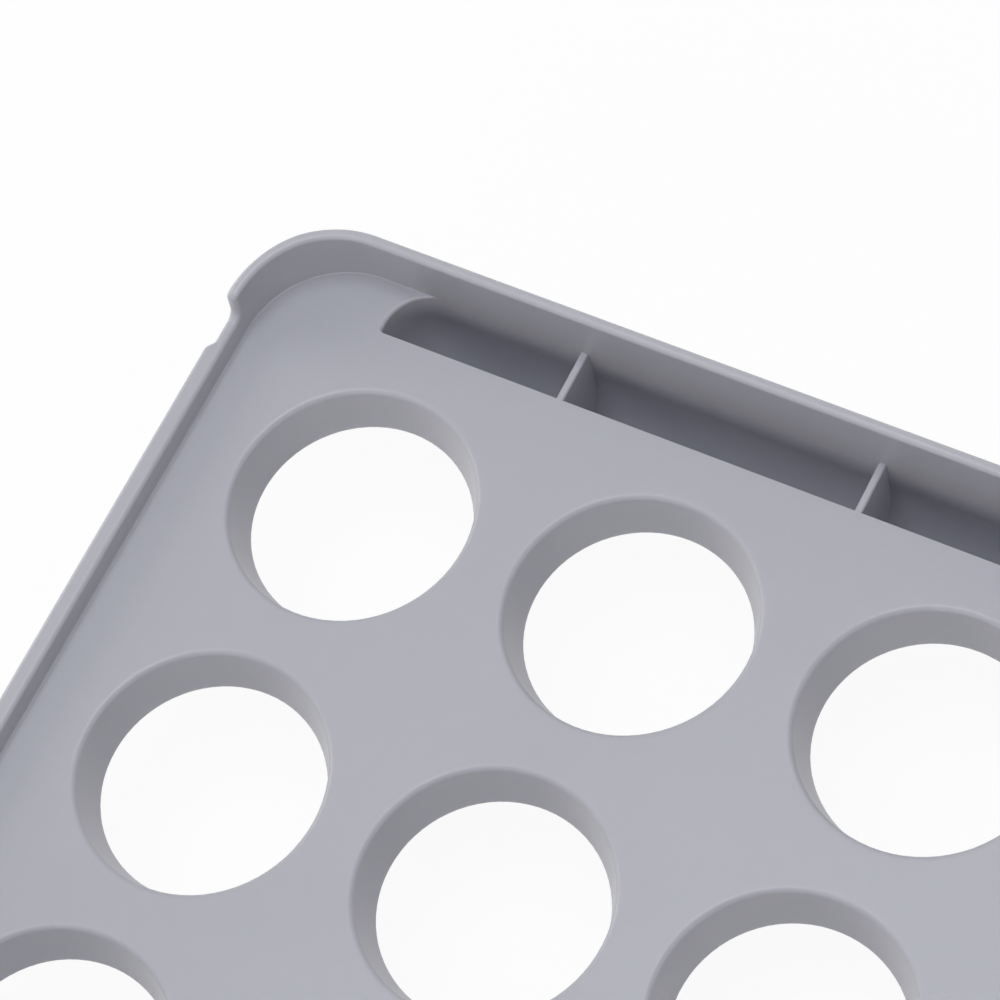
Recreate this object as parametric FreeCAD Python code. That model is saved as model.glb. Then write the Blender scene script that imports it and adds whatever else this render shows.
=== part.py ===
import FreeCAD, Part
import math
import os

# Egg storage drawer: a perforated tray that slides in an open-fronted case.
# Millimetres, +Z up, the front faces -Y, and the drawer stands fully open against its stops.

# Egg grid
egg_pitch = 50.0
egg_columns = 4
egg_rows = 6
egg_below_deck = 27.0
egg_above_deck = 35.0
under_egg_gap = 4.6
over_egg_gap = 4.0

# Conical egg seats
seat_bottom_radius = 18.2
seat_top_radius = 20.2
seat_depth = 8.5
seat_wall = 1.6
collar_sides = 8

# Tray deck and walls
deck_thickness = 2.0
tray_wall = 2.0
side_margin = 31.3
front_margin = 38.5
tray_corner_radius = 18.0
skirt_depth = 8.5
wall_foot_chamfer = 0.4

# Rim of the tray: high at the front, stepping down to the sides
front_rim_height = 11.0
corner_rim_height = 9.4
side_rim_height = 4.3
rim_fall_start = 6.0
rim_step_start = 18.6
rim_step_length = 0.5
rim_step_top_radius = 1.3
rim_step_foot_radius = 1.7
lip_width = 1.1
lip_thickness = 1.6
lip_start = 24.3
lip_ramp = 1.9

# Hollow finger pull behind the tray's front wall
pull_length = 171.0
pull_gap = 9.05
pull_depth = 18.0
pull_wall = 1.8
pull_slope_depth = 6.0
pull_slope_run = 3.6
pull_slope_radius = 8.0
pull_foot_radius = 1.5
pull_end_radius = 7.0
pull_deck_radius = 1.0
pull_rib_thickness = 1.3
pull_rib_pitch = 52.5
pull_rib_count = 3

# Catches at the rear of the tray and the stop clips that they meet
catch_length = 6.0
catch_rear_setback = 30.0
catch_skirt_setback = 1.0
stop_length = 8.0
stop_setback = 47.3
stop_gap = 0.3
stop_wall_clearance = 0.4
stop_lip_clearance = 0.5
stop_foot_length = 5.0
stop_foot_height = 4.0
stop_foot_clearance = 0.1

# Runners
runner_wall = 1.6
runner_shelf_reach = 4.5
runner_guard_reach = 2.6
runner_skirt_clearance = 0.3
runner_lip_clearance = 0.4
runner_side_clearance = 0.5
runner_front_clearance = 1.0
runner_rear_clearance = 4.0
peg_length = 8.0
peg_height = 4.0
peg_count = 3
peg_end_setback = 30.0
peg_recess = 0.4
peg_clearance = 0.1

# Case panels
panel = 2.4
panel_joint_gap = 0.2
panel_corner_radius = 17.0
back_return = 32.0
rear_clearance = 1.0
panel_low_setback = 4.0
panel_waist_setback = 20.0
panel_high_setback = 10.0
panel_waist_radius = 60.0

# Vents in the panels
vent_sill = 4.0
vent_head = 3.0
side_vent_length = 52.0
side_vent_pitch = 96.0
side_vent_count = 2
back_vent_width = 14.0
back_vent_low = 10.0

# Base and top
base_floor = 2.4
top_thickness = 2.4
groove_clearance = 0.2
upstand_wall = 1.6
upstand_height = 7.0
groove_rib_wall = 1.4
groove_rib_height = 4.0
cover_front_radius = 6.0
notch_width = 96.0
notch_depth = 11.0
notch_slope = 16.0
notch_radius = 12.0

# Snaps between the panels and the base and top
snap_length = 12.0
snap_height = 2.4
snap_reach = 1.0
snap_clearance = 0.2
snap_edge_setback = 3.0
side_snap_count = 3
side_snap_pitch = 105.0
back_snap_count = 2
back_snap_pitch = 110.0

# Square feet, and the stacking field that takes the feet of another case
foot_side = 16.0
foot_proud = 2.0
foot_socket_depth = 1.0
foot_edge_break = 0.6
foot_inset = 24.0
stack_clearance = 0.6
stack_depth = 0.8

# One overrun for all cuts, and the shortest edge that an outline keeps
overrun = 1.0
shortest_edge = 0.001

# Tray sizes that follow, in its own frame: front face at y 0, deck top at z 0
grid_half_width = (egg_columns - 1) * egg_pitch / 2
first_row_y = tray_wall + front_margin
last_row_y = first_row_y + (egg_rows - 1) * egg_pitch
tray_inner_half = grid_half_width + side_margin
tray_half = tray_inner_half + tray_wall
tray_inner_rear = last_row_y + side_margin
tray_rear = tray_inner_rear + tray_wall
lip_half = tray_half + lip_width
lip_bottom = side_rim_height - lip_thickness
seat_slope = (seat_top_radius - seat_bottom_radius) / seat_depth
pull_rear = tray_wall + pull_gap
pull_slope = pull_slope_run / (pull_depth - pull_slope_depth)
pull_front_radius = min(pull_end_radius, pull_gap - pull_deck_radius)
catch_rear = tray_rear - catch_rear_setback
catch_front = catch_rear - catch_length

# Heights in the part's frame, with the feet on the floor at z 0
base_bottom = foot_proud
floor_top = base_bottom + base_floor
deck_top = floor_top + under_egg_gap + egg_below_deck
ceiling = deck_top + egg_above_deck + over_egg_gap
top_face = ceiling + top_thickness
skirt_bottom = deck_top - skirt_depth
lip_top = deck_top + side_rim_height

# Widths, from the tray's lip outwards
web_inner = lip_half + runner_side_clearance
panel_inner = web_inner + runner_wall
panel_outer = panel_inner + panel
case_half = panel_outer + groove_clearance + upstand_wall

# Depths: the part's box is centred on y 0 with the drawer open, its catches at the stops
runner_setback = lip_start + lip_ramp + runner_front_clearance
open_travel = catch_front - stop_gap - stop_length - stop_setback - runner_setback
case_depth = tray_rear + lip_width + rear_clearance + panel + groove_clearance + upstand_wall
rear_y = (case_depth + open_travel) / 2
front_y = rear_y - case_depth
tray_y = front_y - open_travel
panel_rear_inner = rear_y - upstand_wall - groove_clearance - panel
joint_y = panel_rear_inner + panel - back_return
runner_front = front_y + runner_setback
runner_rear = panel_rear_inner - panel_corner_radius - runner_rear_clearance


def in_plan(z):
    """Place for outlines drawn in plan, at height z."""
    return lambda u, v: FreeCAD.Vector(u, v, z)


def in_side_view(x):
    """Place for outlines drawn from the side, as depth and height, at x."""
    return lambda u, v: FreeCAD.Vector(x, u, v)


def in_front_view(y):
    """Place for outlines drawn from the front, as width and height, at y."""
    return lambda u, v: FreeCAD.Vector(u, y, v)


def rounded_face(corners, radii, place):
    """A flat face through corner points, each corner rounded by its own radius."""
    points = [place(u, v) for u, v in corners]
    spans = []
    for index, (point, radius) in enumerate(zip(points, radii)):
        towards_last = (points[index - 1] - point).normalize()
        towards_next = (points[(index + 1) % len(points)] - point).normalize()
        half_angle = towards_last.getAngle(towards_next) / 2
        reach = radius / math.tan(half_angle)
        middle = (towards_last + towards_next).normalize()
        crown = radius / math.sin(half_angle) - radius
        spans.append((point + towards_last * reach, point + middle * crown, point + towards_next * reach))
    edges = []
    for index, (start, crown, end) in enumerate(spans):
        last_end = spans[index - 1][2]
        if last_end.distanceToPoint(start) > shortest_edge:
            edges.append(Part.LineSegment(last_end, start).toShape())
        if radii[index]:
            edges.append(Part.Arc(start, crown, end).toShape())
    return Part.Face(Part.Wire(edges))


def plan_block(corners, radii, low, high):
    """An upright block on a rounded plan outline."""
    return rounded_face(corners, radii, in_plan(low)).extrude(FreeCAD.Vector(0, 0, high - low))


def box(x_span, y_span, z_span):
    """A plain block between three pairs of limits."""
    low = FreeCAD.Vector(x_span[0], y_span[0], z_span[0])
    return Part.makeBox(x_span[1] - x_span[0], y_span[1] - y_span[0], z_span[1] - z_span[0], low)


def moved(shape, x, y, z):
    """A copy of a shape at another place."""
    copy = shape.copy()
    copy.translate(FreeCAD.Vector(x, y, z))
    return copy


def mirrored(shape):
    """The same shape on the other side of the middle plane."""
    return shape.mirror(FreeCAD.Vector(0, 0, 0), FreeCAD.Vector(1, 0, 0))


def edges_at(shape, z):
    """The edges of a shape that lie flat at one height."""
    return [
        edge
        for edge in shape.Edges
        if abs(edge.BoundBox.ZMin - z) < shortest_edge and abs(edge.BoundBox.ZMax - z) < shortest_edge
    ]


def evenly(count, pitch, middle):
    """Places at an even pitch about a middle."""
    return [middle + (index - (count - 1) / 2) * pitch for index in range(count)]


def tray_plan(outset, low, high):
    """Upright block on the tray's plan, grown outwards from the inner faces of its walls."""
    half = tray_inner_half + outset
    front = tray_wall - outset
    rear = tray_inner_rear + outset
    corners = [(-half, front), (half, front), (half, rear), (-half, rear)]
    return plan_block(corners, [tray_corner_radius + outset] * 4, low, high)


def tray_rim_trim():
    """What is cut off the walls' tops: the rim falls round the corners and steps down to the sides."""
    above = front_rim_height + overrun
    beyond = tray_rear + overrun
    step_end = rim_step_start + rim_step_length
    corners = [
        (rim_fall_start, front_rim_height),
        (rim_step_start, corner_rim_height),
        (step_end, side_rim_height),
        (beyond, side_rim_height),
        (beyond, above),
        (rim_fall_start, above),
    ]
    radii = [0, rim_step_top_radius, rim_step_foot_radius, 0, 0, 0]
    face = rounded_face(corners, radii, in_side_view(-tray_half - overrun))
    return face.extrude(FreeCAD.Vector(2 * (tray_half + overrun), 0, 0))


def tray_lip():
    """Outward lip round the sides and the rear, which ramps in behind the step of the rim."""
    ring = tray_plan(tray_wall + lip_width, lip_bottom, side_rim_height)
    ring = ring.cut(tray_plan(0, lip_bottom - overrun, side_rim_height + overrun))
    beyond = lip_half + overrun
    ramp_end = lip_start + lip_ramp
    corners = [
        (-beyond, -lip_width - overrun),
        (beyond, -lip_width - overrun),
        (beyond, ramp_end),
        (lip_half, ramp_end),
        (tray_half, lip_start),
        (-tray_half, lip_start),
        (-lip_half, ramp_end),
        (-beyond, ramp_end),
    ]
    radii = [0] * len(corners)
    return ring.cut(plan_block(corners, radii, lip_bottom - overrun, side_rim_height + overrun))


def pull_body(inset_ends, front, rear, bottom, foot_radius, end_radius, deck_radius, top):
    """The finger pull's form: a side view whose front slopes back below the deck, crossed with its plan."""
    half = pull_length / 2 - inset_ends
    foot = front + pull_slope * (-bottom - pull_slope_depth)
    side = rounded_face(
        [(front, top), (front, -pull_slope_depth), (foot, bottom), (rear, bottom), (rear, top)],
        [0, pull_slope_radius, foot_radius, 0, 0],
        in_side_view(-half),
    ).extrude(FreeCAD.Vector(2 * half, 0, 0))
    plan_corners = [(-half, front), (half, front), (half, rear), (-half, rear)]
    radii = [end_radius, end_radius, deck_radius, deck_radius]
    return side.common(plan_block(plan_corners, radii, bottom - overrun, top + overrun))


def seat_collar():
    """Outside of one egg seat: an eight-sided collar from the seat's lower end into the deck."""
    flat = seat_top_radius - seat_slope * deck_thickness + seat_wall
    turn = 2 * math.pi / collar_sides
    reach = flat / math.cos(turn / 2)
    corners = [
        (reach * math.cos((side + 0.5) * turn), reach * math.sin((side + 0.5) * turn))
        for side in range(collar_sides)
    ]
    return plan_block(corners, [0] * collar_sides, -seat_depth, -deck_thickness / 2)


def seat_opening():
    """The conical hole of one egg seat, longer than the seat at both ends."""
    low_radius = seat_bottom_radius - seat_slope * overrun
    high_radius = seat_top_radius + seat_slope * overrun
    low = FreeCAD.Vector(0, 0, -seat_depth - overrun)
    return Part.makeCone(low_radius, high_radius, seat_depth + 2 * overrun, low)


def drawer_tray():
    """The drawer: a one-piece moulding with a perforated deck, a stepped rim and a hollow finger pull."""
    columns = evenly(egg_columns, egg_pitch, 0)
    rows = [first_row_y + index * egg_pitch for index in range(egg_rows)]
    walls = tray_plan(tray_wall, -skirt_depth, front_rim_height)
    well = tray_plan(0, 0, front_rim_height + overrun)
    under = tray_plan(0, -skirt_depth - overrun, -deck_thickness)
    tray = walls.cut(well)
    tray = tray.makeChamfer(wall_foot_chamfer, edges_at(tray, 0))
    tray = tray.cut(under.fuse(tray_rim_trim()))
    pull = pull_body(
        -pull_wall,
        0,
        pull_rear + pull_wall,
        -pull_depth - tray_wall,
        pull_foot_radius + tray_wall,
        pull_front_radius + pull_wall,
        pull_deck_radius + pull_wall,
        0,
    )
    hollow = pull_body(
        0,
        tray_wall,
        pull_rear,
        -pull_depth,
        pull_foot_radius,
        pull_front_radius,
        pull_deck_radius,
        wall_foot_chamfer + overrun,
    )
    rib_half = pull_rib_thickness / 2
    for x in evenly(pull_rib_count, pull_rib_pitch, 0):
        slab = box((x - rib_half, x + rib_half), (0, pull_rear), (-pull_depth, 0))
        hollow = hollow.cut(slab)
    collar = seat_collar()
    collars = [moved(collar, x, y, 0) for x in columns for y in rows]
    catch = box(
        (tray_half - tray_wall / 2, lip_half),
        (catch_front, catch_rear),
        (catch_skirt_setback - skirt_depth, lip_bottom + lip_thickness / 2),
    )
    tray = tray.fuse([tray_lip(), pull, catch, mirrored(catch)] + collars)
    opening = seat_opening()
    tray = tray.cut([hollow] + [moved(opening, x, y, 0) for x in columns for y in rows])
    return moved(tray.removeSplitter(), 0, tray_y, deck_top)


def right_runner():
    """Channel that carries the drawer's skirt on a shelf and guards its lip from above."""
    shelf_top = skirt_bottom - runner_skirt_clearance
    shelf_bottom = shelf_top - runner_wall
    guard_bottom = lip_top + runner_lip_clearance
    guard_top = guard_bottom + runner_wall
    shelf_inner = tray_half - runner_shelf_reach
    guard_inner = lip_half - runner_guard_reach
    corners = [
        (panel_inner, shelf_bottom),
        (shelf_inner, shelf_bottom),
        (shelf_inner, shelf_top),
        (web_inner, shelf_top),
        (web_inner, guard_bottom),
        (guard_inner, guard_bottom),
        (guard_inner, guard_top),
        (panel_inner, guard_top),
    ]
    face = rounded_face(corners, [0] * len(corners), in_front_view(runner_front))
    runner = face.extrude(FreeCAD.Vector(0, runner_rear - runner_front, 0))
    pegs = runner_pegs(panel_outer - peg_recess, 0)
    return runner.fuse(pegs).cut(stop_foot(stop_foot_clearance)).removeSplitter()


def runner_pegs(outer, clearance):
    """The runner's pegs through the side panel, or with a clearance their holes."""
    middle_z = (skirt_bottom + lip_top) / 2
    half_length = peg_length / 2 + clearance
    half_height = peg_height / 2 + clearance
    z_span = (middle_z - half_height, middle_z + half_height)
    reach = joint_y - runner_front - 2 * peg_end_setback
    middle_y = runner_front + peg_end_setback + reach / 2
    places = evenly(peg_count, reach / (peg_count - 1), middle_y)
    return [box((web_inner, outer), (y - half_length, y + half_length), z_span) for y in places]


def stop_middle():
    """The middle of a stop clip, just in front of the tray's catch."""
    return tray_y + catch_front - stop_gap - stop_length / 2


def stop_foot(clearance):
    """The stop clip's foot through the runner's web, or with a clearance its window."""
    middle_y = stop_middle()
    middle_z = (skirt_bottom + deck_top + lip_bottom) / 2
    half_length = stop_foot_length / 2 + clearance
    half_height = stop_foot_height / 2 + clearance
    return box(
        (web_inner, panel_inner),
        (middle_y - half_length, middle_y + half_length),
        (middle_z - half_height, middle_z + half_height),
    )


def right_stop():
    """Stop clip in the runner's channel, with a lead-in slope on its front."""
    middle_y = stop_middle()
    front = middle_y - stop_length / 2
    rear = middle_y + stop_length / 2
    inner = tray_half + stop_wall_clearance
    low = skirt_bottom + catch_skirt_setback
    high = deck_top + lip_bottom - stop_lip_clearance
    corners = [(web_inner, front), (web_inner, rear), (inner, rear), (inner, middle_y)]
    block = plan_block(corners, [0] * len(corners), low, high)
    return block.fuse(stop_foot(0)).removeSplitter()


def vent(place, middle, width, low, high, through):
    """A slot with round ends, cut through a panel."""
    half = width / 2
    corners = [(middle - half, low), (middle + half, low), (middle + half, high), (middle - half, high)]
    return rounded_face(corners, [min(half, (high - low) / 2)] * 4, place).extrude(through)


def snap_places(count, pitch, middle):
    """Lower and upper limits of each snap along its panel."""
    return [(place - snap_length / 2, place + snap_length / 2) for place in evenly(count, pitch, middle)]


def snap_heights():
    """Lower limits of the snaps near the base and near the top."""
    low = floor_top + snap_edge_setback
    high = ceiling - snap_edge_setback - snap_height
    return low, high


def side_snaps():
    """Wedges on the outer face of the right side panel."""
    low, high = snap_heights()
    out = panel_outer + groove_clearance + snap_reach
    wedges = []
    for y_low, y_high in snap_places(side_snap_count, side_snap_pitch, (front_y + joint_y) / 2):
        for bottom in (low, high):
            top = bottom + snap_height
            tip = top if bottom == low else bottom
            corners = [(panel_outer, bottom), (out, tip), (panel_outer, top)]
            face = rounded_face(corners, [0] * len(corners), in_front_view(y_low))
            wedges.append(face.extrude(FreeCAD.Vector(0, y_high - y_low, 0)))
    return wedges


def back_snaps():
    """Wedges on the outer face of the back panel."""
    low, high = snap_heights()
    face_y = panel_rear_inner + panel
    out = face_y + groove_clearance + snap_reach
    wedges = []
    for x_low, x_high in snap_places(back_snap_count, back_snap_pitch, 0):
        for bottom in (low, high):
            top = bottom + snap_height
            tip = top if bottom == low else bottom
            corners = [(face_y, bottom), (out, tip), (face_y, top)]
            face = rounded_face(corners, [0] * len(corners), in_side_view(x_low))
            wedges.append(face.extrude(FreeCAD.Vector(x_high - x_low, 0, 0)))
    return wedges


def snap_windows(bottom):
    """Windows for the snaps at one height, through the walls round the base or the top."""
    z_span = (bottom - snap_clearance, bottom + snap_height + snap_clearance)
    windows = []
    for y_low, y_high in snap_places(side_snap_count, side_snap_pitch, (front_y + joint_y) / 2):
        y_span = (y_low - snap_clearance, y_high + snap_clearance)
        window = box((panel_outer, case_half + overrun), y_span, z_span)
        windows.extend([window, mirrored(window)])
    for x_low, x_high in snap_places(back_snap_count, back_snap_pitch, 0):
        x_span = (x_low - snap_clearance, x_high + snap_clearance)
        windows.append(box(x_span, (panel_rear_inner + panel, rear_y + overrun), z_span))
    return windows


def right_side():
    """Side panel with a waisted front edge, long air vents and holes for the runner's pegs."""
    middle_z = (floor_top + ceiling) / 2
    rear = joint_y - panel_joint_gap
    corners = [
        (front_y + panel_low_setback, floor_top),
        (rear, floor_top),
        (rear, ceiling),
        (front_y + panel_high_setback, ceiling),
        (front_y + panel_waist_setback, middle_z),
    ]
    radii = [0, 0, 0, 0, panel_waist_radius]
    through = FreeCAD.Vector(panel, 0, 0)
    side = rounded_face(corners, radii, in_side_view(panel_inner)).extrude(through)
    vent_low = lip_top + runner_lip_clearance + runner_wall + vent_sill
    vent_high = ceiling - upstand_height - vent_head
    vent_middle = (front_y + panel_waist_setback + joint_y) / 2
    vents = [
        vent(in_side_view(panel_inner), y, side_vent_length, vent_low, vent_high, through)
        for y in evenly(side_vent_count, side_vent_pitch, vent_middle)
    ]
    holes = runner_pegs(panel_outer + overrun, peg_clearance)
    return side.cut(vents + holes).fuse(side_snaps()).removeSplitter()


def case_plan(outset, front, low, high):
    """Upright block on the case's plan, from a front line back, grown from the panels' inner faces."""
    half = panel_inner + outset
    rear = panel_rear_inner + outset
    radius = panel_corner_radius + outset
    corners = [(-half, front), (half, front), (half, rear), (-half, rear)]
    return plan_block(corners, [0, 0, radius, radius], low, high)


def back_panel():
    """Back with round corners that return along the sides, and tall air vents between the egg columns."""
    outer = case_plan(panel, joint_y, floor_top, ceiling)
    inner = case_plan(0, joint_y - overrun, floor_top - overrun, ceiling + overrun)
    through = FreeCAD.Vector(0, panel, 0)
    vent_low = floor_top + upstand_height + back_vent_low
    vent_high = ceiling - upstand_height - vent_head
    vents = [
        vent(in_front_view(panel_rear_inner), x, back_vent_width, vent_low, vent_high, through)
        for x in evenly(egg_columns - 1, egg_pitch, 0)
    ]
    return outer.cut([inner] + vents).fuse(back_snaps()).removeSplitter()


def grooved_cover(low, high, edge, rib_edge):
    """A base or top plate between two heights, with an outer wall and an inner rib that hold the panels.

    edge and rib_edge are the heights that the wall and the rib reach to from the plate.
    """
    wall_in = panel + groove_clearance
    wall_out = wall_in + upstand_wall
    plate = case_plan(wall_out, front_y, low, high)
    wall_span = sorted((edge, low, high))
    rib_span = sorted((rib_edge, low, high))
    cut_front = front_y - overrun
    wall = case_plan(wall_out, front_y, wall_span[0], wall_span[2])
    wall_cut = case_plan(wall_in, cut_front, wall_span[0] - overrun, wall_span[2] + overrun)
    rib = case_plan(-groove_clearance, front_y, rib_span[0], rib_span[2])
    rib_inset = groove_clearance + groove_rib_wall
    rib_cut = case_plan(-rib_inset, cut_front, rib_span[0] - overrun, rib_span[2] + overrun)
    return plate.fuse([wall.cut(wall_cut), rib.cut(rib_cut)])


def front_outline(low, high):
    """What the base and top keep at the front: round corners and a wide finger notch."""
    beyond = rear_y + overrun
    half = notch_width / 2
    foot_half = half + notch_slope
    corners = [
        (-case_half, front_y),
        (-foot_half, front_y),
        (-half, front_y + notch_depth),
        (half, front_y + notch_depth),
        (foot_half, front_y),
        (case_half, front_y),
        (case_half, beyond),
        (-case_half, beyond),
    ]
    radii = [cover_front_radius] + [notch_radius] * 4 + [cover_front_radius, 0, 0]
    return plan_block(corners, radii, low, high)


def foot_places():
    """Plan places of the four feet."""
    x = case_half - foot_inset
    return [(sx * x, y) for y in (front_y + foot_inset, rear_y - foot_inset) for sx in (-1, 1)]


def pad(place, low, high):
    """A square pad about a place in plan."""
    x_span = (place[0] - foot_side / 2, place[0] + foot_side / 2)
    y_span = (place[1] - foot_side / 2, place[1] + foot_side / 2)
    return box(x_span, y_span, (low, high))


def case_base():
    """Floor of the case, with the panels' groove, a finger notch and sockets for the feet below."""
    wall_top = floor_top + upstand_height
    base = grooved_cover(base_bottom, floor_top, wall_top, floor_top + groove_rib_height)
    base = base.common(front_outline(base_bottom, wall_top))
    socket_top = base_bottom + foot_socket_depth
    sockets = [pad(place, base_bottom - overrun, socket_top) for place in foot_places()]
    return base.cut(sockets + snap_windows(snap_heights()[0])).removeSplitter()


def top_cover():
    """Clear top of the case, with the panels' groove below and a shallow field above for stacking."""
    wall_bottom = ceiling - upstand_height
    top = grooved_cover(ceiling, top_face, wall_bottom, ceiling - groove_rib_height)
    top = top.common(front_outline(wall_bottom, top_face))
    nest = foot_side / 2 + stack_clearance
    half = case_half - foot_inset + nest
    front = front_y + foot_inset - nest
    rear = rear_y - foot_inset + nest
    corners = [(-half, front), (half, front), (half, rear), (-half, rear)]
    field = plan_block(corners, [0] * len(corners), top_face - stack_depth, top_face + overrun)
    return top.cut([field] + snap_windows(snap_heights()[1])).removeSplitter()


def foot(place):
    """Soft foot in its socket, with a broken lower edge."""
    block = pad(place, 0, base_bottom + foot_socket_depth)
    return block.makeChamfer(foot_edge_break, edges_at(block, 0))


def pieces():
    """Every piece of the drawer by its name."""
    made = {
        "drawer_tray": drawer_tray(),
        "case_base": case_base(),
        "top_cover": top_cover(),
        "back_panel": back_panel(),
    }
    for name, shape in (("side", right_side()), ("runner", right_runner()), ("stop", right_stop())):
        made["right_" + name] = shape
        made["left_" + name] = mirrored(shape)
    foot_names = ("front_left_foot", "front_right_foot", "rear_left_foot", "rear_right_foot")
    for name, place in zip(foot_names, foot_places()):
        made[name] = foot(place)
    return made


os.makedirs("parts", exist_ok=True)
for name, shape in pieces().items():
    shape.exportStep("parts/" + name + ".step")
    print(name, len(shape.Solids), "solid", round(shape.Volume), "mm3", shape.isValid())
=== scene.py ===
# %% [markdown]
# # Egg storage drawer
# A shallow grey tray with conical seats for eggs slides in a low white case. This lesson dresses the packed
# frame: the tray is modelled anew, with all its soft moulded edges, and the case's pieces are softened copies
# of the frame's solids. Every length is in metres, and every place is in the frame's own axes.

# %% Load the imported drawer
import math

import bmesh
import bpy
from mathutils import Matrix, Quaternion, Vector


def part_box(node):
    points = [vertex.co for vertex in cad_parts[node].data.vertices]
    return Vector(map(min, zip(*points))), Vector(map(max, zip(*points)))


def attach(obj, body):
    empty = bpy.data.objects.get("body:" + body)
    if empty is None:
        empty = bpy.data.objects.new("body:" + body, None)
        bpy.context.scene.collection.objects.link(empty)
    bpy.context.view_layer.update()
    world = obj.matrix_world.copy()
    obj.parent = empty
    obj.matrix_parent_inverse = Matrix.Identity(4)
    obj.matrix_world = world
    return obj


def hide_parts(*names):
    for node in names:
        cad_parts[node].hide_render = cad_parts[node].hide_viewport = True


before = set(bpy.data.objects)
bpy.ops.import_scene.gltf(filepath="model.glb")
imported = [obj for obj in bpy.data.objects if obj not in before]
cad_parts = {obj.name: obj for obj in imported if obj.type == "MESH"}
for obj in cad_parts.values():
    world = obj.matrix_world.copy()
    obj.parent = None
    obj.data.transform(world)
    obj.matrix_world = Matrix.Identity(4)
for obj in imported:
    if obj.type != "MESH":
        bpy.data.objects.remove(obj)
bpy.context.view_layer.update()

print("nodes:", ", ".join(sorted(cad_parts)))

# %% [markdown]
# ## From a bmesh to a piece
# Each shape is built in a bmesh, which is a mesh that Python can edit with the same operators as the editor.
# One helper turns the finished bmesh into an object: smooth faces with sharp creases, normals weighted by face
# area so that flat faces stay flat beside a small radius, and a body of the frame that it rides on.

# %% Pieces and materials by name
crease_angle = math.radians(32)


def object_from(bm, name):
    """A linked object at the origin whose mesh is the bmesh, which is then freed."""
    mesh = bpy.data.meshes.new(name)
    bm.to_mesh(mesh)
    bm.free()
    made = bpy.data.objects.new(name, mesh)
    bpy.context.scene.collection.objects.link(made)
    return made


def finish_piece(piece, material, body, node):
    """Shade a piece, give it its finish, and let it ride in place of a node of the frame."""
    piece.data.materials.clear()
    piece.data.materials.append(material)
    piece.data.shade_smooth()
    piece.data.set_sharp_from_angle(angle=crease_angle)
    weighted = piece.modifiers.new("Flat faces stay flat", "WEIGHTED_NORMAL")
    weighted.keep_sharp = True
    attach(piece, body)
    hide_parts(node)
    print(piece.name, "has", len(piece.data.polygons), "faces")


# %% [markdown]
# ## Moulded plastic
# A moulded surface is never one flat colour: the melt leaves faint clouds, and the steel of the mould leaves a
# fine grain. Both come from noise on the object's own coordinates, in one node group that every plastic here
# shares with its own values. The group gives a colour, a roughness and a height; the shader stays outside it.

# %% The shared node group
def moulded_group():
    group = bpy.data.node_groups.new("moulded surface", "ShaderNodeTree")
    sockets = group.interface
    sockets.new_socket("Colour", in_out="INPUT", socket_type="NodeSocketColor")
    sockets.new_socket("Cloud colour", in_out="INPUT", socket_type="NodeSocketColor")
    sockets.new_socket("Cloud scale", in_out="INPUT", socket_type="NodeSocketFloat")
    sockets.new_socket("Grain scale", in_out="INPUT", socket_type="NodeSocketFloat")
    sockets.new_socket("Smooth", in_out="INPUT", socket_type="NodeSocketFloat")
    sockets.new_socket("Rough", in_out="INPUT", socket_type="NodeSocketFloat")
    sockets.new_socket("Colour", in_out="OUTPUT", socket_type="NodeSocketColor")
    sockets.new_socket("Roughness", in_out="OUTPUT", socket_type="NodeSocketFloat")
    sockets.new_socket("Height", in_out="OUTPUT", socket_type="NodeSocketFloat")
    nodes = group.nodes
    link = group.links.new
    given = nodes.new("NodeGroupInput")
    result = nodes.new("NodeGroupOutput")
    place = nodes.new("ShaderNodeTexCoord")
    clouds = nodes.new("ShaderNodeTexNoise")
    clouds.inputs["Detail"].default_value = 3
    clouds.inputs["Distortion"].default_value = 0.8
    grain = nodes.new("ShaderNodeTexNoise")
    grain.inputs["Detail"].default_value = 2
    for noise, scale in ((clouds, "Cloud scale"), (grain, "Grain scale")):
        link(place.outputs["Object"], noise.inputs["Vector"])
        link(given.outputs[scale], noise.inputs["Scale"])
    tint = nodes.new("ShaderNodeMix")
    tint.data_type = "RGBA"
    link(clouds.outputs["Fac"], tint.inputs["Factor"])
    link(given.outputs["Colour"], tint.inputs["A"])
    link(given.outputs["Cloud colour"], tint.inputs["B"])
    spread = nodes.new("ShaderNodeMapRange")
    spread.inputs["From Min"].default_value = 0.3
    spread.inputs["From Max"].default_value = 0.7
    link(clouds.outputs["Fac"], spread.inputs["Value"])
    link(given.outputs["Smooth"], spread.inputs["To Min"])
    link(given.outputs["Rough"], spread.inputs["To Max"])
    link(tint.outputs["Result"], result.inputs["Colour"])
    link(spread.outputs["Result"], result.inputs["Roughness"])
    link(grain.outputs["Fac"], result.inputs["Height"])
    return group


moulded = moulded_group()
print("group:", moulded.name)


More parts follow.
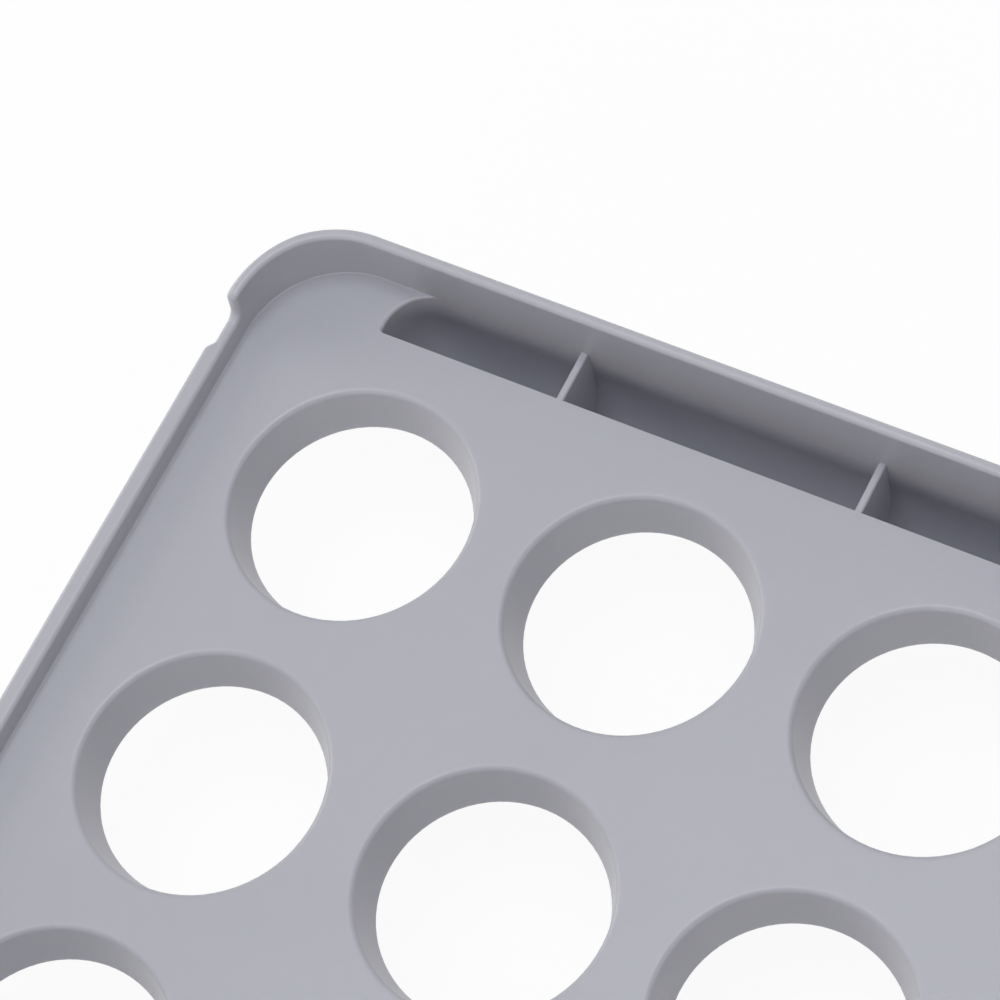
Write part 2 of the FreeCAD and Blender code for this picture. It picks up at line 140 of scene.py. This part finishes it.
# %% Plastics and rubber
def moulded_material(name, colour, cloud, cloud_scale, grain_scale, smooth, rough, grain_depth):
    """A Principled shader fed by the moulded group, with the grain as a bump."""
    material = bpy.data.materials.new(name)
    material.use_nodes = True
    nodes = material.node_tree.nodes
    link = material.node_tree.links.new
    shader = nodes["Principled BSDF"]
    surface = nodes.new("ShaderNodeGroup")
    surface.node_tree = moulded
    surface.inputs["Colour"].default_value = (*colour, 1)
    surface.inputs["Cloud colour"].default_value = (*cloud, 1)
    surface.inputs["Cloud scale"].default_value = cloud_scale
    surface.inputs["Grain scale"].default_value = grain_scale
    surface.inputs["Smooth"].default_value = smooth
    surface.inputs["Rough"].default_value = rough
    bump = nodes.new("ShaderNodeBump")
    bump.inputs["Strength"].default_value = 0.5
    bump.inputs["Distance"].default_value = grain_depth
    link(surface.outputs["Colour"], shader.inputs["Base Color"])
    link(surface.outputs["Roughness"], shader.inputs["Roughness"])
    link(surface.outputs["Height"], bump.inputs["Height"])
    link(bump.outputs["Normal"], shader.inputs["Normal"])
    return material


def clear_material():
    """Clear plastic for the top: polished, with a faint cool cast and hardly visible waves."""
    material = moulded_material(
        "clear top plastic", colour=(0.93, 0.96, 0.97), cloud=(0.90, 0.94, 0.96),
        cloud_scale=25, grain_scale=60, smooth=0.04, rough=0.10, grain_depth=0.00002,
    )
    shader = material.node_tree.nodes["Principled BSDF"]
    shader.inputs["Transmission Weight"].default_value = 1
    shader.inputs["IOR"].default_value = 1.49
    return material


tray_plastic = moulded_material(
    "grey tray plastic", colour=(0.462, 0.462, 0.52), cloud=(0.432, 0.432, 0.49),
    cloud_scale=16, grain_scale=1400, smooth=0.33, rough=0.43, grain_depth=0.00004,
)
tray_shader = tray_plastic.node_tree.nodes["Principled BSDF"]
tray_shader.inputs["Subsurface Weight"].default_value = 0.5
tray_shader.inputs["Subsurface Radius"].default_value = (1.0, 0.9, 0.88)
tray_shader.inputs["Subsurface Scale"].default_value = 0.0015
case_plastic = moulded_material(
    "white case plastic", colour=(0.80, 0.80, 0.785), cloud=(0.77, 0.77, 0.755),
    cloud_scale=12, grain_scale=1600, smooth=0.34, rough=0.44, grain_depth=0.00004,
)
runner_plastic = moulded_material(
    "slippery runner plastic", colour=(0.70, 0.70, 0.71), cloud=(0.66, 0.66, 0.67),
    cloud_scale=20, grain_scale=900, smooth=0.45, rough=0.58, grain_depth=0.00004,
)
stop_plastic = moulded_material(
    "dark stop plastic", colour=(0.28, 0.29, 0.33), cloud=(0.25, 0.26, 0.30),
    cloud_scale=40, grain_scale=1500, smooth=0.40, rough=0.50, grain_depth=0.00003,
)
foot_rubber = moulded_material(
    "soft foot rubber", colour=(0.055, 0.055, 0.060), cloud=(0.075, 0.075, 0.080),
    cloud_scale=60, grain_scale=2200, smooth=0.72, rough=0.88, grain_depth=0.00008,
)
clear_plastic = clear_material()
print("materials:", ", ".join(material.name for material in bpy.data.materials))

# %% [markdown]
# ## The tray's measures
# The frame gives the tray's outer box. The sizes below are the ones that its shape needs inside that box: the
# thickness of the deck and the walls, the lip and the pull's depth, which together place the deck.

# %% Sizes of the tray
tray_low, tray_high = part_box("drawer_tray")
lip_width = 0.0011
lip_thickness = 0.0016
tray_wall = 0.002
corner_radius = 0.0167
deck_thickness = 0.002
skirt_depth = 0.0085
pull_depth = 0.018

tray_half = tray_high.x - lip_width
inner_half = tray_half - tray_wall
front_face = tray_low.y
inner_front = front_face + tray_wall
inner_rear = tray_high.y - lip_width - tray_wall
deck_top = tray_low.z + pull_depth + tray_wall
deck_under = deck_top - deck_thickness
skirt_bottom = deck_top - skirt_depth
print("deck top at", round(deck_top, 4), "and front face at", round(front_face, 4))

# %% [markdown]
# ## The rim in side view
# The rim is high along the front and falls a little round the corner. Then it drops over a round knuckle, almost
# upright, and runs out in a hollow curve to the low side wall. Each point of that curve has a distance behind
# the front face, a height above the deck and a lean: the angle by which the rim's top faces backwards there.

# %% Knuckle and run-out
front_rim = 0.011
corner_rim = 0.0094
side_rim = 0.0043
fall_start = 0.006
step_start = 0.0186
step_length = 0.0005
knuckle_radius = 0.0013
run_out_radius = 0.0017
curve_steps = 8


def share(value, low, high):
    """How far a value lies between two limits, from 0 to 1."""
    return min(max((value - low) / (high - low), 0), 1)


def between(low, high, steps):
    """Evenly spaced values from one limit to the other, with both."""
    return [low + (high - low) * step / steps for step in range(steps + 1)]


def fall_height(behind):
    return front_rim + (corner_rim - front_rim) * share(behind, fall_start, step_start)


def step_curve():
    fall = math.atan2(front_rim - corner_rim, step_start - fall_start)
    drop = math.atan2(corner_rim - side_rim, step_length)
    reach = knuckle_radius * math.tan((drop - fall) / 2)
    inside = step_start - reach * math.cos(fall) - knuckle_radius * math.sin(fall)
    below = corner_rim + reach * math.sin(fall) - knuckle_radius * math.cos(fall)
    beyond = step_start + step_length + run_out_radius * math.tan(drop / 2)
    above = side_rim + run_out_radius
    knuckle = [
        (inside + knuckle_radius * math.sin(lean), below + knuckle_radius * math.cos(lean), lean)
        for lean in between(fall, drop, curve_steps)
    ]
    run_out = [
        (beyond - run_out_radius * math.sin(lean), above - run_out_radius * math.cos(lean), lean)
        for lean in between(drop, 0, curve_steps)
    ]
    return knuckle + run_out


step_points = step_curve()
print("points of the step:", len(step_points))

# %% [markdown]
# ## Stations round the tray
# The wall follows a path: the inner face of the walls in plan, with round corners. A station is a place on it,
# the way out from it, and the height and lean of the rim there. The right half is listed from the front to the
# rear and mirrored for the left half; the straights at the front and the rear join the two.

# %% Stations
quarter_turn = math.pi / 2
front_corner_steps = 32
rear_corner_steps = 20
ramp_steps = 10
side_stations = 10
straight_stations = 15
lip_start = 0.0243
lip_ramp = 0.0019


def right_station(behind, height, lean):
    """A station on the front right corner or on the right side."""
    along = behind - tray_wall
    if along < corner_radius:
        angle = math.acos(1 - along / corner_radius)
        outward = Vector((math.sin(angle), -math.cos(angle), 0))
        centre = Vector((inner_half - corner_radius, inner_front + corner_radius, 0))
        return centre + outward * corner_radius, outward, height, lean
    return Vector((inner_half, front_face + behind, 0)), Vector((1, 0, 0)), height, lean


def right_half():
    step_angle = math.acos(1 - (step_points[0][0] - tray_wall) / corner_radius)
    turns = between(0, step_angle, front_corner_steps)[:-1]
    corner = [tray_wall + corner_radius * (1 - math.cos(turn)) for turn in turns]
    stations = [right_station(behind, fall_height(behind), 0) for behind in corner]
    stations += [right_station(*point) for point in step_points]
    arc_rear = inner_rear - corner_radius
    ramp = between(lip_start, lip_start + lip_ramp, ramp_steps)
    plain = between(lip_start + 2 * lip_ramp, arc_rear - front_face, side_stations)[:-1]
    stations += [right_station(behind, side_rim, 0) for behind in ramp + plain]
    for turn in between(0, quarter_turn, rear_corner_steps):
        outward = Vector((math.cos(turn), math.sin(turn), 0))
        centre = Vector((inner_half - corner_radius, arc_rear, 0))
        stations.append((centre + outward * corner_radius, outward, side_rim, 0))
    return stations


def mirrored(station):
    place, outward, height, lean = station
    return Vector((-place.x, place.y, 0)), Vector((-outward.x, outward.y, 0)), height, lean


def whole_path():
    right = right_half()
    arc_x = inner_half - corner_radius
    across = between(-arc_x, arc_x, straight_stations + 1)[1:-1]
    rear = [(Vector((-x, inner_rear, 0)), Vector((0, 1, 0)), side_rim, 0) for x in across]
    front = [(Vector((x, inner_front, 0)), Vector((0, -1, 0)), front_rim, 0) for x in across]
    return right + rear + [mirrored(station) for station in reversed(right)] + front


path = whole_path()
print("stations round the tray:", len(path))

# %% [markdown]
# ## The wall's section
# At each station the wall has the same kind of section: a tiny fillet at its foot, the inner face, a rounded top
# edge, the lip, the outer face and the skirt below the deck. Points of the rim are given by how far they lie below
# the rim's surface, square to it, so that the rounding holds on the steep face of the step too.

# %% One section of the wall
foot_fillet = 0.0003
inner_edge = 0.0008
outer_edge = 0.0008
skirt_edge = 0.0005
lip_break = 0.0004
edge_gap = 0.00005
edge_steps = 4
quarter = between(0, quarter_turn, edge_steps)


def lip_at(place):
    ramp = share(place.y - front_face, lip_start, lip_start + lip_ramp)
    return lip_width * ramp * ramp * (3 - 2 * ramp)


def rim_points(lip):
    """Outward distance from the inner face, and depth below the rim's surface."""
    outer = tray_wall + lip
    full = lip / lip_width
    below = [outer_edge + edge_gap * count for count in (1, 2, 3)]
    lip_drops = (lip_thickness - lip_break, lip_thickness, lip_thickness + lip_break)
    drops = [low + (high - low) * full for low, high in zip(below, lip_drops)]
    points = [(inner_edge * (1 - math.cos(a)), inner_edge * (1 - math.sin(a))) for a in quarter]
    points += [(outer + outer_edge * (math.sin(a) - 1), outer_edge * (1 - math.cos(a))) for a in quarter]
    points += [(outer, drops[0]), (outer - lip_break * full, drops[1]), (tray_wall, drops[2])]
    return points


def skirt_points():
    """Outward distance from the inner face, and height from the deck, round the skirt's lower end."""
    low = skirt_edge - skirt_depth
    points = [(tray_wall + skirt_edge * (math.cos(a) - 1), low - skirt_edge * math.sin(a)) for a in quarter]
    points += [(skirt_edge * (1 - math.sin(a)), low - skirt_edge * math.cos(a)) for a in quarter]
    points.append((0, -deck_thickness))
    return points


def section_places(station):
    """Where the section's points lie at one station, from the deck over the rim to the deck's underside."""
    place, outward, height, lean = station
    deck = Vector((0, 0, deck_top))
    down = Vector((0, -math.sin(lean), -math.cos(lean)))
    rim = Vector((0, 0, deck_top + height))
    foot = [(foot_fillet * (math.sin(a) - 1), foot_fillet * (1 - math.cos(a))) for a in quarter]
    places = [place + outward * out + deck + Vector((0, 0, up)) for out, up in foot]
    places += [place + outward * out + rim + down * drop for out, drop in rim_points(lip_at(place))]
    places += [place + outward * out + deck + Vector((0, 0, up)) for out, up in skirt_points()]
    return places


section_size = len(section_places(path[0]))
print("points in the wall's section:", section_size)

# %% [markdown]
# ## Sweeping the wall
# The first section is a chain of edges. Each next station extrudes that chain and moves the new points to their
# places; a number kept on every point says which point of the section it is, because an extrude copies it. The
# last extrude lands on the first section, and merging closes the ring.

# %% The swept wall
merge_distance = 0.000002


def swept_wall(bm):
    order = bm.verts.layers.int.new("section order")
    chain = []
    for index, place in enumerate(section_places(path[0])):
        point = bm.verts.new(place)
        point[order] = index
        chain.append(point)
    edges = [bm.edges.new(pair) for pair in zip(chain, chain[1:])]
    for station in path[1:] + path[:1]:
        places = section_places(station)
        made = bmesh.ops.extrude_edge_only(bm, edges=edges)["geom"]
        points = {item for item in made if isinstance(item, bmesh.types.BMVert)}
        for point in points:
            point.co = places[point[order]]
        made_edges = [item for item in made if isinstance(item, bmesh.types.BMEdge)]
        edges = [edge for edge in made_edges if points.issuperset(edge.verts)]
    bmesh.ops.remove_doubles(bm, verts=bm.verts, dist=merge_distance)


tray = bmesh.new()
swept_wall(tray)
print("wall faces:", len(tray.faces))

# %% [markdown]
# ## Egg seats
# Each seat is turned: a short profile runs over the deck, down the cone and back up the outside of the collar,
# and spin carries it once round. The cone's upper edge is then bevelled to the soft round that an egg rests on,
# while the lower edge stays almost sharp, as a mould leaves it where two halves of the tool meet.

# %% Turn the seats
egg_pitch = 0.050
egg_columns = 4
egg_rows = 6
front_margin = 0.0385
first_row = inner_front + front_margin
seat_bottom_radius = 0.0182
seat_top_radius = 0.0202
seat_round = 0.0008
seat_break = 0.00015
collar_round = 0.0004
seat_ring_radius = 0.0218
collar_radius = 0.0213
seat_steps = 72


def seat_places():
    left = -(egg_columns - 1) * egg_pitch / 2
    columns = [left + column * egg_pitch for column in range(egg_columns)]
    rows = [first_row + row * egg_pitch for row in range(egg_rows)]
    return [Vector((x, y, 0)) for y in rows for x in columns]


def turned_seat(bm, place):
    profile = (
        (seat_ring_radius, deck_top),
        (seat_top_radius, deck_top),
        (seat_bottom_radius, skirt_bottom),
        (collar_radius, skirt_bottom),
        (collar_radius, deck_under),
    )
    points = [bm.verts.new(place + Vector((radius, 0, height))) for radius, height in profile]
    edges = [bm.edges.new(pair) for pair in zip(points, points[1:])]
    full_turn = 4 * quarter_turn
    up = (0, 0, 1)
    bmesh.ops.spin(
        bm, geom=points + edges, cent=place, axis=up, angle=full_turn, steps=seat_steps, use_merge=True
    )


def rings_at(bm, radius, height):
    """Edges of all seats that lie on a circle of this radius at this height."""
    found = []
    for edge in bm.edges:
        middle = (edge.verts[0].co + edge.verts[1].co) / 2
        if abs(middle.z - height) > merge_distance:
            continue
        nearest = min(seats, key=lambda seat: (seat.xy - middle.xy).length)
        reach = [(point.co.xy - nearest.xy).length for point in edge.verts]
        if max(abs(length - radius) for length in reach) < merge_distance:
            found.append(edge)
    return found


def round_edges(bm, edges, width, segments):
    bmesh.ops.bevel(
        bm, geom=edges, offset=width, offset_type="OFFSET", segments=segments, profile=0.5,
        affect="EDGES", material=-1, clamp_overlap=True,
    )


seats = seat_places()
for seat in seats:
    turned_seat(tray, seat)
bmesh.ops.remove_doubles(tray, verts=tray.verts, dist=merge_distance)
round_edges(tray, rings_at(tray, seat_top_radius, deck_top), seat_round, 6)
round_edges(tray, rings_at(tray, seat_bottom_radius, skirt_bottom), seat_break, 2)
round_edges(tray, rings_at(tray, collar_radius, skirt_bottom), collar_round, 2)
print("seats:", len(seats))

# %% [markdown]
# ## The deck
# What is left of the deck is a flat sheet between the foot of the walls and the rings of the seats. A strip behind
# the front wall becomes one single face first, because the pull will open there and triangles would spoil its edge.
# Triangle fill then takes all the other loops at once and leaves the inner ones open, above and below.

# %% Fill the deck
strip_rear = 0.016


def loops_at(bm, height):
    """Open edges that lie at one height."""
    return [
        edge
        for edge in bm.edges
        if edge.is_boundary and all(abs(point.co.z - height) < merge_distance for point in edge.verts)
    ]


def front_strip(bm):
    """One face of the deck from the straight foot of the front wall back to the seats."""
    foot = inner_front + foot_fillet
    edges = [
        edge
        for edge in loops_at(bm, deck_top)
        if all(abs(point.co.y - foot) < merge_distance for point in edge.verts)
    ]
    ends = sorted({point for edge in edges for point in edge.verts}, key=lambda point: point.co.x)
    left, right = ends[0], ends[-1]
    rear = front_face + strip_rear
    rear_left, rear_right = [bm.verts.new((end.co.x, rear, deck_top)) for end in (left, right)]
    for pair in ((left, rear_left), (rear_left, rear_right), (rear_right, right)):
        edges.append(bm.edges.new(pair))
    bmesh.ops.edgeloop_fill(bm, edges=edges)


front_strip(tray)
for height, facing in ((deck_top, (0, 0, 1)), (deck_under, (0, 0, -1))):
    loops = loops_at(tray, height)
    bmesh.ops.triangle_fill(tray, edges=loops, use_beauty=True, use_dissolve=False, normal=facing)
bmesh.ops.recalc_face_normals(tray, faces=tray.faces)
open_edges = [edge for edge in tray.edges if not edge.is_manifold]
print("tray faces:", len(tray.faces), "open edges:", len(open_edges))

# %% [markdown]
# ## The hollow finger pull
# Behind the front wall the deck opens into a hollow pull with thin cross ribs. Its plan is an outline with round
# ends. On the way down the outline is extruded from level to level: over a soft edge at its ends, straight down,
# and then with its front and its ends drawn in on a wide curve. The outer form is made in the same way and joined
# to the tray, and the hollow is cut from it.

# %% An outline drawn in level by level
pull_length = 0.171
pull_gap = 0.00905
pull_wall = 0.0018
scoop_start = 0.0065
scoop_radius = 0.016
foot_round = 0.0011
end_round = 0.0007
pull_end_radius = 0.007
pull_deck_radius = 0.001
scoop_steps = 14
foot_steps = 6
end_steps = 5
end_turn = math.radians(75)


def curved(first, corner, last, steps):
    """Points on a soft curve that leaves one point towards the corner and comes to the other from it."""
    parts = between(0, 1, steps)
    return [first * (1 - part) ** 2 + corner * 2 * part * (1 - part) + last * part ** 2 for part in parts]


def drawn_in(bottom, radius, foot):
    """Levels from the start of the curve down: height, and how far the ends and the front are drawn in."""
    start = deck_top - scoop_start
    last_turn = math.asin((start - bottom) / radius)
    turns = between(0, last_turn, scoop_steps)
    scoop = [Vector((start - radius * math.sin(turn), radius * (1 - math.cos(turn)))) for turn in turns]
    along = Vector((-math.cos(last_turn), math.sin(last_turn)))
    lowest = scoop[-1]
    rounded = curved(lowest - along * foot, lowest, lowest + Vector((0, foot)), foot_steps)
    kept = [level for level in scoop if level.x > rounded[0].x + merge_distance]
    return [(height, shift, shift) for height, shift in kept + rounded]


def soft_ends():
    """Levels over the rounded edge at the slot's ends, where only the ends are let out."""
    rise = end_round * (1 - math.sin(end_turn)) + foot_fillet
    reach = end_round * (1 - math.cos(end_turn)) + rise * math.tan(end_turn)
    levels = [(deck_top + foot_fillet, -reach, 0)]
    for turn in between(end_turn, 0, end_steps):
        levels.append((deck_top - end_round * (1 - math.sin(turn)), -end_round * (1 - math.cos(turn)), 0))
    return levels


def drafted(bm, half, front, rear, end_radius, deck_radius, levels):
    """A solid on an outline with round corners whose ends and front move from level to level."""
    corners = [(-half, front, 0), (half, front, 0), (half, rear, 0), (-half, rear, 0)]
    points = [bm.verts.new(corner) for corner in corners]
    bm.faces.new(points)
    for point, reach in zip(points, (end_radius, end_radius, deck_radius, deck_radius)):
        bmesh.ops.bevel(
            bm, geom=[point], offset=reach, offset_type="OFFSET", segments=12, profile=0.5, affect="VERTICES",
            material=-1,
        )
    outline, moved = list(bm.faces), list(bm.verts)
    length, depth, height = half, rear - front, 0
    about_rear = Matrix.Translation((0, -rear, 0))
    for index, (level, ends, face) in enumerate(levels):
        if index:
            made = bmesh.ops.extrude_face_region(bm, geom=outline)["geom"]
            if index > 1:
                bmesh.ops.delete(bm, geom=outline, context="FACES_ONLY")
            outline = [item for item in made if isinstance(item, bmesh.types.BMFace)]
            moved = [item for item in made if isinstance(item, bmesh.types.BMVert)]
        factors = ((half - ends) / length, (rear - front - face) / depth, 1)
        bmesh.ops.scale(bm, verts=moved, vec=factors, space=about_rear)
        bmesh.ops.translate(bm, verts=moved, vec=(0, 0, level - height))
        length, depth, height = half - ends, rear - front - face, level


print("levels of the hollow's soft ends:", len(soft_ends()))

# %% [markdown]
# ## Joining and cutting
# Booleans cross two closed meshes. The modifier is evaluated once and its result becomes the first object's mesh,
# so no live modifier is left. The ribs are what stays when thin blocks are taken out of the cutter.

# %% Join the pull to the tray and hollow it
rib_thickness = 0.0013
rib_round = 0.0004
rib_pitch = 0.0525
rib_count = 3
cut_room = 0.002
pull_rear = inner_front + pull_gap
outer_bottom = tray_low.z


def solid(name, build):
    bm = bmesh.new()
    build(bm)
    bmesh.ops.recalc_face_normals(bm, faces=bm.faces)
    return object_from(bm, name)


def crossed(first, second, operation):
    """The first object's mesh joined with or cut by the second, which is removed."""
    step = first.modifiers.new("Crossed", "BOOLEAN")
    step.object = second
    step.operation = operation
    step.solver = "EXACT"
    evaluated = first.evaluated_get(bpy.context.evaluated_depsgraph_get())
    mesh = bpy.data.meshes.new_from_object(evaluated)
    first.modifiers.clear()
    first.data = mesh
    bpy.data.objects.remove(second)
    return first


def outer_form(bm):
    inside_deck = (deck_top - deck_thickness / 2, 0, 0)
    levels = [inside_deck] + drawn_in(outer_bottom, scoop_radius + tray_wall, foot_round + tray_wall)
    drafted(
        bm, pull_length / 2 + pull_wall, front_face, pull_rear + pull_wall,
        pull_end_radius + pull_wall, pull_deck_radius + pull_wall, levels,
    )


def hollow_form(bm):
    levels = soft_ends() + drawn_in(outer_bottom + tray_wall, scoop_radius, foot_round)
    drafted(bm, pull_length / 2, inner_front, pull_rear, pull_end_radius, pull_deck_radius, levels)


def rib_blocks(bm):
    """Thin blocks that end at the deck, with round upper edges."""
    size = Vector((rib_thickness, pull_gap + 2 * cut_room, pull_depth + cut_room))
    for index in range(rib_count):
        x = (index - (rib_count - 1) / 2) * rib_pitch
        place = Matrix.Translation((x, inner_front + pull_gap / 2, deck_top - size.z / 2))
        bmesh.ops.create_cube(bm, size=1, matrix=place @ Matrix.Diagonal(size).to_4x4())
    upper = [edge for edge in bm.edges if all(point.co.z > deck_top - merge_distance for point in edge.verts)]
    long_upper = [edge for edge in upper if edge.calc_length() > pull_gap]
    round_edges(bm, long_upper, rib_round, 3)


drawer = object_from(tray, "tray")
drawer = crossed(drawer, solid("pull", outer_form), "UNION")
hollow = crossed(solid("hollow", hollow_form), solid("ribs", rib_blocks), "DIFFERENCE")
drawer = crossed(drawer, hollow, "DIFFERENCE")
print("tray with its pull:", len(drawer.data.polygons), "faces")

# %% [markdown]
# ## Catches
# Two small catches on the skirt, near the rear, meet the stop clips when the drawer is fully open. Each is a
# block with rounded edges that reaches from inside the wall out to the lip.

# %% Add the catches
catch_front = 0.2878
catch_length = 0.006
catch_round = 0.0002
catch_base = skirt_bottom + 0.001
catch_top = deck_top + side_rim - lip_thickness / 2


def catches(bm):
    low_x = tray_half - tray_wall / 2
    high_x = tray_high.x
    size = Vector((high_x - low_x, catch_length, catch_top - catch_base))
    middle_y = front_face + catch_front + catch_length / 2
    for side in (-1, 1):
        place = Matrix.Translation((side * (low_x + high_x) / 2, middle_y, (catch_top + catch_base) / 2))
        bmesh.ops.create_cube(bm, size=1, matrix=place @ Matrix.Diagonal(size).to_4x4())
    round_edges(bm, list(bm.edges), catch_round, 2)


drawer = crossed(drawer, solid("catches", catches), "UNION")

# %% [markdown]
# ## Soft edges of the slot
# The ends of the slot and the ribs are already soft. The cut leaves a knife edge along the slot's rear, which gets
# a small radius.

# %% Round the slot's rear edge
slot_round = 0.0002


def slot_edges(bm):
    """Edges between the deck and the upright faces of the hollow."""
    found = []
    for edge in bm.edges:
        places = [point.co for point in edge.verts]
        at_deck = all(abs(place.z - deck_top) < merge_distance for place in places)
        in_slot = all(inner_front < place.y < pull_rear + merge_distance for place in places)
        if at_deck and in_slot and edge.is_manifold and edge.calc_face_angle() > quarter_turn / 2:
            found.append(edge)
    return found


bm = bmesh.new()
bm.from_mesh(drawer.data)
bmesh.ops.remove_doubles(bm, verts=bm.verts, dist=merge_distance)
print("sharp edges of the slot:", len(slot_edges(bm)))
round_edges(bm, slot_edges(bm), slot_round, 2)
bm.to_mesh(drawer.data)
bm.free()
finish_piece(drawer, tray_plastic, "drawer", "drawer_tray")

# %% [markdown]
# ## The case
# The panels, the base, the top, the runners, the clips and the feet already have their right shapes in the frame.
# A moulding has no knife edges, so each gets a copy of its mesh, merged and freed of its flat triangles, whose
# sharp edges are bevelled by a few tenths of a millimetre. The copy stands for the node.

# %% Softened copies
flat_angle = math.radians(1)
sharp_angle = math.radians(40)
soft_segments = 2


def softened(node, name, width):
    bm = bmesh.new()
    bm.from_mesh(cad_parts[node].data)
    bmesh.ops.remove_doubles(bm, verts=bm.verts, dist=merge_distance)
    bmesh.ops.dissolve_limit(bm, angle_limit=flat_angle, verts=bm.verts, edges=bm.edges)
    sharp = [edge for edge in bm.edges if edge.is_manifold and edge.calc_face_angle() > sharp_angle]
    round_edges(bm, sharp, width, soft_segments)
    return object_from(bm, name)


case_pieces = (
    ("case_base", "base", case_plastic, "case", 0.0005),
    ("back_panel", "back", case_plastic, "case", 0.0004),
    ("right_side", "side_right", case_plastic, "case", 0.0004),
    ("left_side", "side_left", case_plastic, "case", 0.0004),
    ("top_cover", "clear_top", clear_plastic, "clear_top", 0.0005),
    ("right_runner", "runner_right", runner_plastic, "runner", 0.0003),
    ("left_runner", "runner_left", runner_plastic, "runner", 0.0003),
    ("right_stop", "stop_right", stop_plastic, "stop", 0.0003),
    ("left_stop", "stop_left", stop_plastic, "stop", 0.0003),
    ("front_left_foot", "foot_front_left", foot_rubber, "foot", 0.0003),
    ("front_right_foot", "foot_front_right", foot_rubber, "foot", 0.0003),
    ("rear_left_foot", "foot_rear_left", foot_rubber, "foot", 0.0003),
    ("rear_right_foot", "foot_rear_right", foot_rubber, "foot", 0.0003),
)
for node, name, material, slot, width in case_pieces:
    finish_piece(softened(node, name, width), material, "case", node)

# %% [markdown]
# ## Floor and world
# The photograph has a white ground. The floor and the world look white to the camera, and to mirrors and glass,
# but light the drawer at a plain level. A share of the floor's own shading stays, so the shadow is kept.

# %% A white ground that keeps the shadow
floor_grey = 0.95
floor_reach = 6
white_share = 0.93
world_level = 0.2


def white_for_viewers(tree):
    """A value of 1 for camera, glossy and transmission rays, and 0 for light that only bounces."""
    rays = tree.nodes.new("ShaderNodeLightPath")
    seen = rays.outputs["Is Camera Ray"]
    for name in ("Is Glossy Ray", "Is Transmission Ray"):
        either = tree.nodes.new("ShaderNodeMath")
        either.operation = "MAXIMUM"
        tree.links.new(seen, either.inputs[0])
        tree.links.new(rays.outputs[name], either.inputs[1])
        seen = either.outputs[0]
    return seen


def ground_material():
    material = bpy.data.materials.new("white ground")
    material.use_nodes = True
    tree = material.node_tree
    tree.nodes.clear()
    shaded = tree.nodes.new("ShaderNodeBsdfDiffuse")
    shaded.inputs["Color"].default_value = (floor_grey, floor_grey, floor_grey, 1)
    white = tree.nodes.new("ShaderNodeEmission")
    mix = tree.nodes.new("ShaderNodeMixShader")
    amount = tree.nodes.new("ShaderNodeMath")
    amount.operation = "MULTIPLY"
    amount.inputs[1].default_value = white_share
    result = tree.nodes.new("ShaderNodeOutputMaterial")
    tree.links.new(white_for_viewers(tree), amount.inputs[0])
    tree.links.new(amount.outputs[0], mix.inputs["Fac"])
    tree.links.new(shaded.outputs[0], mix.inputs[1])
    tree.links.new(white.outputs[0], mix.inputs[2])
    tree.links.new(mix.outputs[0], result.inputs["Surface"])
    return material


def set_world():
    world = bpy.data.worlds.new("studio")
    bpy.context.scene.world = world
    world.use_nodes = True
    tree = world.node_tree
    background = tree.nodes["Background"]
    background.inputs["Color"].default_value = (1, 1, 1, 1)
    level = tree.nodes.new("ShaderNodeMapRange")
    level.inputs["To Min"].default_value = world_level
    level.inputs["To Max"].default_value = 1
    tree.links.new(white_for_viewers(tree), level.inputs["Value"])
    tree.links.new(level.outputs["Result"], background.inputs["Strength"])


ground = bmesh.new()
bmesh.ops.create_grid(ground, x_segments=2, y_segments=2, size=floor_reach)
floor = object_from(ground, "floor")
floor.data.materials.append(ground_material())
set_world()
print("floor at", floor.location.z)

# %% [markdown]
# ## Light and camera
# A large soft lamp hangs above, as in a light tent: it lights the deck and, through the slot, the curved front of
# the pull, while the upright walls stay darker. Low lamps all round, a little warmer, keep those walls readable.
# The camera looks down over the drawer's right front corner from behind, with a long lens and a tilted horizon.

# %% Lamps
lamp_distance = 1.7
lamp_width = 1.0
cool = (0.93, 0.97, 1)
warm = (1, 0.97, 0.88)
lamps = (
    ("top", 0, 88, 14, cool),
    ("right", 0, 20, 11, warm),
    ("rear", 90, 20, 7.3, warm),
    ("left", 180, 25, 3, warm),
    ("front", -90, 25, 4, warm),
)


def soft_lamp(name, azimuth, elevation, power, colour):
    """A square lamp at an angle from the right side and above the floor, turned to the aim."""
    turn, rise = math.radians(azimuth), math.radians(elevation)
    way = Vector((math.cos(rise) * math.cos(turn), math.cos(rise) * math.sin(turn), math.sin(rise)))
    lamp = bpy.data.lights.new(name, "AREA")
    lamp.size = lamp_width
    lamp.energy = power
    lamp.color = colour
    holder = bpy.data.objects.new(name, lamp)
    bpy.context.scene.collection.objects.link(holder)
    holder.location = aim + way * lamp_distance
    holder.rotation_euler = (-way).to_track_quat("-Z", "Y").to_euler()


aim = Vector((0.05313, front_face + 0.03068, deck_top))
for lamp in lamps:
    soft_lamp(*lamp)
print("lamps:", ", ".join(name for name, *_ in lamps))

# %% Camera
camera_offset = Vector((-0.22233, 0.21507, 0.56665))
camera_place = aim + camera_offset
camera_roll = math.radians(-21)
lens = bpy.data.cameras.new("camera")
lens.sensor_width = 36
lens.lens = 147.47
camera = bpy.data.objects.new("camera", lens)
bpy.context.scene.collection.objects.link(camera)
camera.location = camera_place
camera.rotation_mode = "QUATERNION"
level_view = (aim - camera_place).to_track_quat("-Z", "Y")
camera.rotation_quaternion = level_view @ Quaternion((0, 0, 1), camera_roll)
bpy.context.scene.camera = camera
bpy.context.scene.view_settings.view_transform = "Standard"
print("camera at", [round(value, 4) for value in camera_place])
